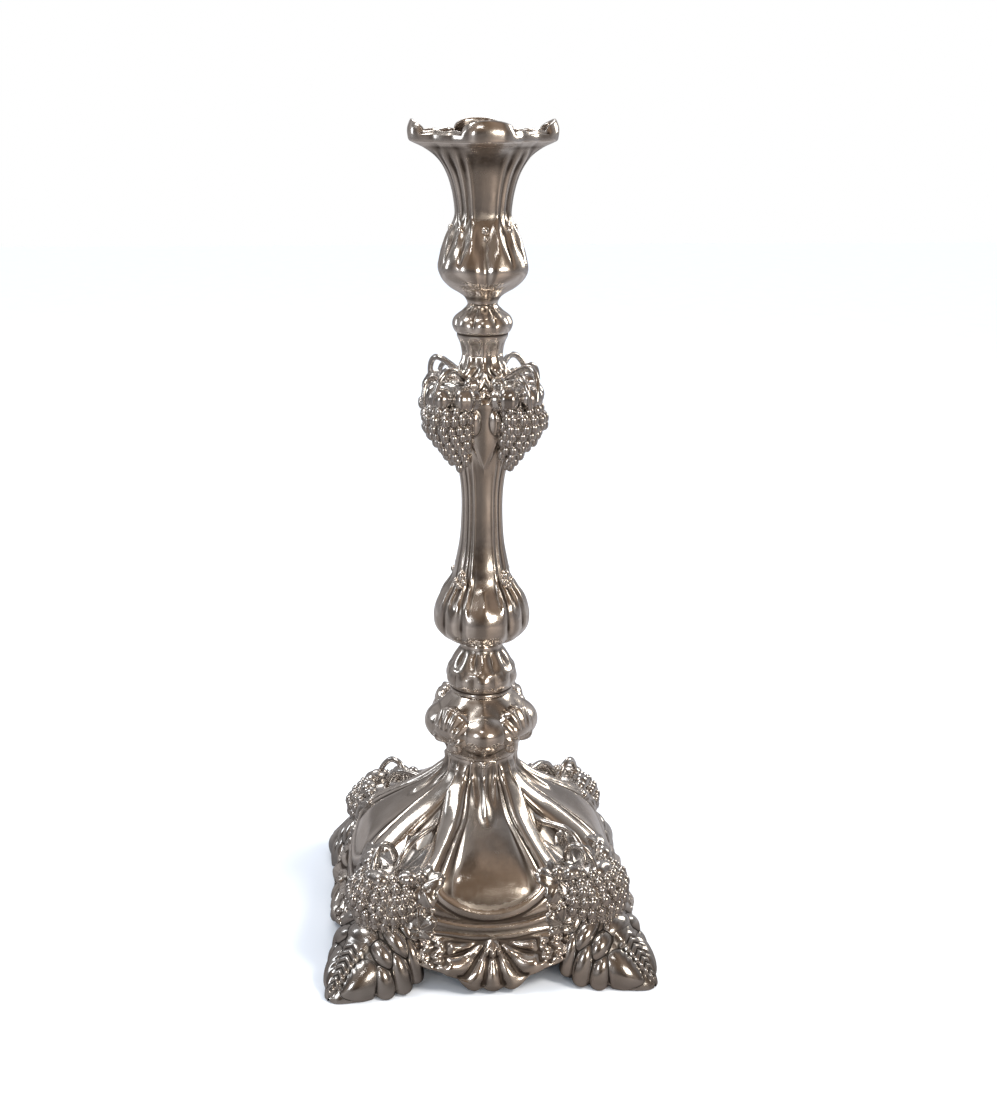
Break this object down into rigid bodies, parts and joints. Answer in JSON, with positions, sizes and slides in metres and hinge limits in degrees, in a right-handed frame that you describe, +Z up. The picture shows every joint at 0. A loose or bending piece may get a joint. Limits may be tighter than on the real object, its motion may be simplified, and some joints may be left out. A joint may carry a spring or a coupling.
{
  "type": "candlestick",
  "caption": "Tall silver-plated table candlestick with a square footed base, a fluted stem with vine ornament, a flared lobed nozzle and a lift-out candle cup.",
  "frame": {"origin": "on the table, under the centre of the base", "axes": "+Z up along the stem, the faces of the square base look along +X, +Y, -X and -Y, the feet lie on the diagonals"},
  "size_m": [0.1432, 0.1432, 0.36],
  "materials": {
    "silver_plate": "polished",
    "silver_castings": "satin",
    "steel": "satin"
  },
  "bodies": {
    "stand": {"upper_knop": "silver_plate", "stem": "silver_plate", "lower_knop": "silver_plate", "collar": "silver_plate", "base_shell": "silver_plate", "stem_bunch_1": "silver_castings", "stem_bunch_2": "silver_castings", "stem_bunch_3": "silver_castings", "stem_bunch_4": "silver_castings", "stem_tendril_1": "silver_castings", "stem_tendril_2": "silver_castings", "stem_tendril_3": "silver_castings", "stem_tendril_4": "silver_castings", "base_bunch_1": "silver_castings", "base_bunch_2": "silver_castings", "base_bunch_3": "silver_castings", "base_bunch_4": "silver_castings", "base_tendril_1": "silver_castings", "base_tendril_2": "silver_castings", "base_tendril_3": "silver_castings", "base_tendril_4": "silver_castings", "foot_1": "silver_castings", "foot_2": "silver_castings", "foot_3": "silver_castings", "foot_4": "silver_castings", "tie_rod": "steel", "bridge_plate": "steel", "washer": "steel", "tie_nut": "steel"},
    "nozzle": {"nozzle": "silver_plate", "nozzle_nut": "steel"},
    "candle_cup": {"candle_cup": "silver_plate"}
  },
  "joints": [
    {"name": "nozzle_turn", "type": "hinge", "parent": "stand", "child": "nozzle", "pos_m": [0, 0, 0.2863], "axis": [0, 0, 1], "continuous": true},
    {"name": "candle_cup_lift", "type": "slide", "parent": "nozzle", "child": "candle_cup", "axis": [0, 0, 1], "range_m": [0, 0.065]}
  ]
}
